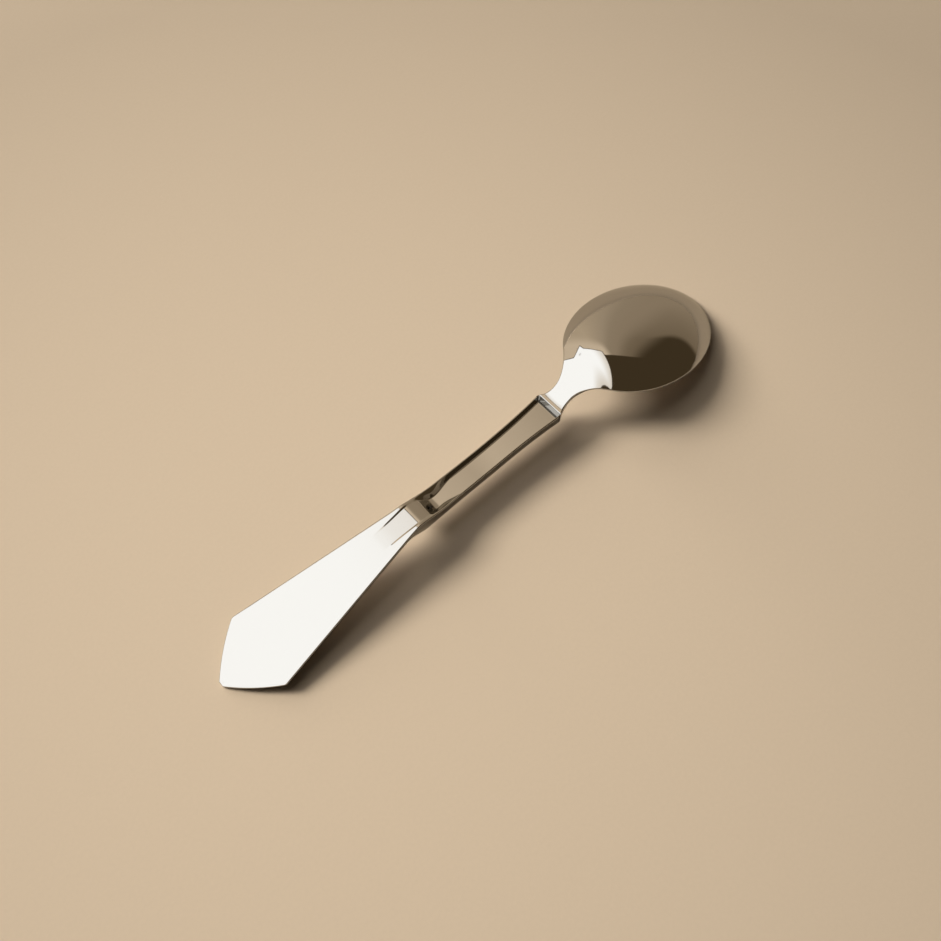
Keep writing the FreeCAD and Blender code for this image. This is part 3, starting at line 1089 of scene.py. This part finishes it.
@dataclass(frozen=True)
class Room:
    """What polished metal mirrors: a white sheet at the left, a tan wall beyond and dark parts of the room.

    A pair of numbers is a soft change over a border: the place of its middle, and its width.

    Attributes:
        wall: Colours of the wall, each after its place from the camera's left (-1) to its right (1).
        dusk: Wall at the right. It deepens towards the high dark part over dusk_reach, from start to end.
        glow: Wall close to the sheet's far and right edges.
        dark: Dark parts of the room, and the frame round the sheet.
        corner_right: Right edge of the sheet's second part, which fills out its corner above corner_foot.
    """

    wall: tuple[tuple[float, Colour], ...] = (
        (-0.6, (0.80, 0.63, 0.435)), (-0.4, (0.84, 0.66, 0.455)), (-0.2, (0.74, 0.58, 0.40)),
        (0.0, (0.65, 0.51, 0.355)), (0.15, (0.54, 0.42, 0.287)), (0.3, (0.515, 0.395, 0.267)),
    )
    dusk: Colour = (0.32, 0.238, 0.15)
    dusk_change: tuple[float, float] = (0.45, 0.3)
    dusk_reach: tuple[float, float] = (-0.55, 0.0)
    glow: Colour = (1.12, 0.90, 0.65)
    glow_far: tuple[float, float] = (-0.25, 0.3)
    glow_beside: tuple[float, float] = (-0.15, 0.2)
    dark: Colour = (0.092, 0.062, 0.031)
    high_change: tuple[float, float] = (0.68, 0.2)
    high_blur: tuple[float, float] = (0.0, 0.08)
    near_blur: tuple[float, float] = (0.0, 0.04)
    sheet: Colour = (2.07, 2.08, 2.08)
    sheet_rim: Colour = (1.45, 1.33, 1.18)
    rim_change: tuple[float, float] = (0.12, 0.3)
    sheet_blur: float = 0.012
    frame_width: float = 0.02
    sheet_far: Border = Border(-0.348, -0.937, -0.016, -0.248)
    sheet_right: Border = Border(-0.880, -0.330, 0.340, 0.280)
    corner_right: Border = Border(-0.930, -0.368, 0.014, 0.390)
    corner_foot: Border = Border(0.0, 0.0, 1.0, 0.50)
    near_dark: Border = Border(0.0, -1.0, 0.0, -0.135)
    high_dark: Border = Border(0.0, -1.0, 0.58, -0.25)

    def colour(self, bench: NodeBench, right: Vector, away: Vector) -> Signal:
        """Colour of the room by looking direction.

        Args:
            bench: Bench of the world's node tree.
            right: Level direction to the camera's right.
            away: Level direction away from the camera.

        Returns:
            The colour.
        """
        look = bench.node("ShaderNodeTexCoord", {}, {}, "Generated")
        borders = (Border(1.0, 0.0, 0.0), self.sheet_far, self.sheet_right, self.corner_right,
                   self.corner_foot, self.near_dark, self.high_dark)
        along, far, beside, corner, foot, near, high = (
            border.side(bench, look, right, away) for border in borders)
        stops = [((position + 1.0) / 2.0, opaque(colour)) for position, colour in self.wall]
        room = bench.node("ShaderNodeValToRGB", {"stops": stops}, {"Fac": (along + 1.0) * 0.5}, "Color")
        room = bench.mix(along.above(*self.dusk_change) * high.between(*self.dusk_reach), room, self.dusk)
        room = bench.mix(far.above(*self.glow_far) * beside.above(*self.glow_beside), room, self.glow)
        room = bench.mix(along.above(*self.high_change) * high.above(*self.high_blur), room, self.dark)
        room = bench.mix(near.above(*self.near_blur), room, self.dark)
        white = bench.mix(beside.above(*self.rim_change), self.sheet_rim, self.sheet)
        for reach, colour in ((self.frame_width, self.dark), (0.0, white)):
            far_in, beside_in, corner_in, foot_in = (
                side.above(-reach, self.sheet_blur) for side in (far, beside, corner, foot))
            main_part, corner_part = far_in * beside_in, corner_in * foot_in
            room = bench.mix(main_part + corner_part - main_part * corner_part, room, colour)
        return room


@dataclass
class Studio:
    """Camera, table, lamps and surroundings, in metres, with the lens and its sensor in millimetres."""

    camera_place: tuple[float, float, float] = (-0.0890, -0.0935, 0.2584)
    camera_aim: tuple[float, float, float] = (0.301, 0.334, -0.893)
    camera_roll: float = -0.14
    lens: float = 35.9
    sensor: float = 36.0
    near_clip: float = 0.01
    table_size: float = 6.0
    table: PaperTable = field(default_factory=PaperTable)
    lamps: tuple[Lamp, ...] = (
        Lamp("window", 287.0, 31.0, 3.5, 1.1, 1.1, 155.0),
        Lamp("window_strip", 322.0, 17.0, 3.5, 1.05, 2.2, 69.0),
        Lamp("window_top", 303.0, 49.0, 3.5, 1.86, 3.1, 34.0),
    )
    fill: Colour = (0.006, 0.005, 0.004)
    room: Room = field(default_factory=Room)

    def directions(self) -> tuple[Vector, Vector]:
        """Level directions to the camera's right and away from it."""
        away = Vector((self.camera_aim[0], self.camera_aim[1], 0.0)).normalized()
        return Vector((away.y, -away.x, 0.0)), away

    def build_camera(self) -> None:
        """Makes the camera that looks at the spoon as the photograph does."""
        data = bpy.data.cameras.new("camera")
        data.sensor_width = self.sensor
        data.lens = self.lens
        data.clip_start = self.near_clip
        camera = bpy.data.objects.new("camera", data)
        bpy.context.collection.objects.link(camera)
        forward = Vector(self.camera_aim).normalized()
        right = forward.cross(Vector((0.0, 0.0, 1.0))).normalized()
        up = right.cross(forward)
        lean = Matrix.Rotation(math.radians(self.camera_roll), 3, "Z")
        turn = Matrix((right, up, -forward)).transposed() @ lean
        camera.matrix_world = Matrix.Translation(self.camera_place) @ turn.to_4x4()
        bpy.context.scene.camera = camera

    def build_table(self) -> None:
        """Lays the table under the spoon."""
        half = self.table_size / 2
        mesh = bpy.data.meshes.new("table")
        corners = [(-half, -half, 0), (half, -half, 0), (half, half, 0), (-half, half, 0)]
        mesh.from_pydata(corners, [], [(0, 1, 2, 3)])
        mesh.materials.append(self.table.material())
        table = bpy.data.objects.new("table", mesh)
        bpy.context.collection.objects.link(table)

    def build_lamps(self) -> None:
        """Hangs the lamps."""
        right, away = self.directions()
        for lamp in self.lamps:
            data = bpy.data.lights.new(lamp.name, "AREA")
            data.shape = "RECTANGLE"
            data.size, data.size_y = lamp.width, lamp.height
            data.energy = lamp.watts
            data.color = lamp.colour
            light = bpy.data.objects.new(lamp.name, data)
            light.location = lamp.place(right, away)
            light.rotation_mode = "QUATERNION"
            light.rotation_quaternion = (-light.location).to_track_quat("-Z", "Y")
            light.visible_glossy = False
            bpy.context.collection.objects.link(light)

    def build_world(self) -> None:
        """Lights the table with a dim fill, and gives polished metal the room to mirror."""
        world = bpy.data.worlds.new("surroundings")
        world.use_nodes = True
        bench = NodeBench(world.node_tree)
        ray = bench.node("ShaderNodeLightPath", {}, {}, "Is Glossy Ray")
        colour = bench.mix(ray, self.fill, self.room.colour(bench, *self.directions()))
        glow = bench.node("ShaderNodeBackground", {}, {"Color": colour, "Strength": 1.0})
        bench.node("ShaderNodeOutputWorld", {}, {"Surface": glow})
        bpy.context.scene.world = world

    def build(self) -> None:
        """Sets up everything around the spoon."""
        bpy.context.scene.view_settings.view_transform = "Standard"
        self.build_camera()
        self.build_table()
        self.build_lamps()
        self.build_world()


def main() -> None:
    """Builds the spoon and its studio."""
    logging.basicConfig(level=logging.INFO, format="%(message)s")
    body = SpoonSurface().build()
    body.data.materials.append(PolishedSteel().material())
    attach(body, "root")
    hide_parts("spoon")
    LOG.info("spoon: %d points, %d faces", len(body.data.vertices), len(body.data.polygons))
    Studio().build()
    LOG.info("studio: camera, table and lamps")


if __name__ == "__main__":
    main()
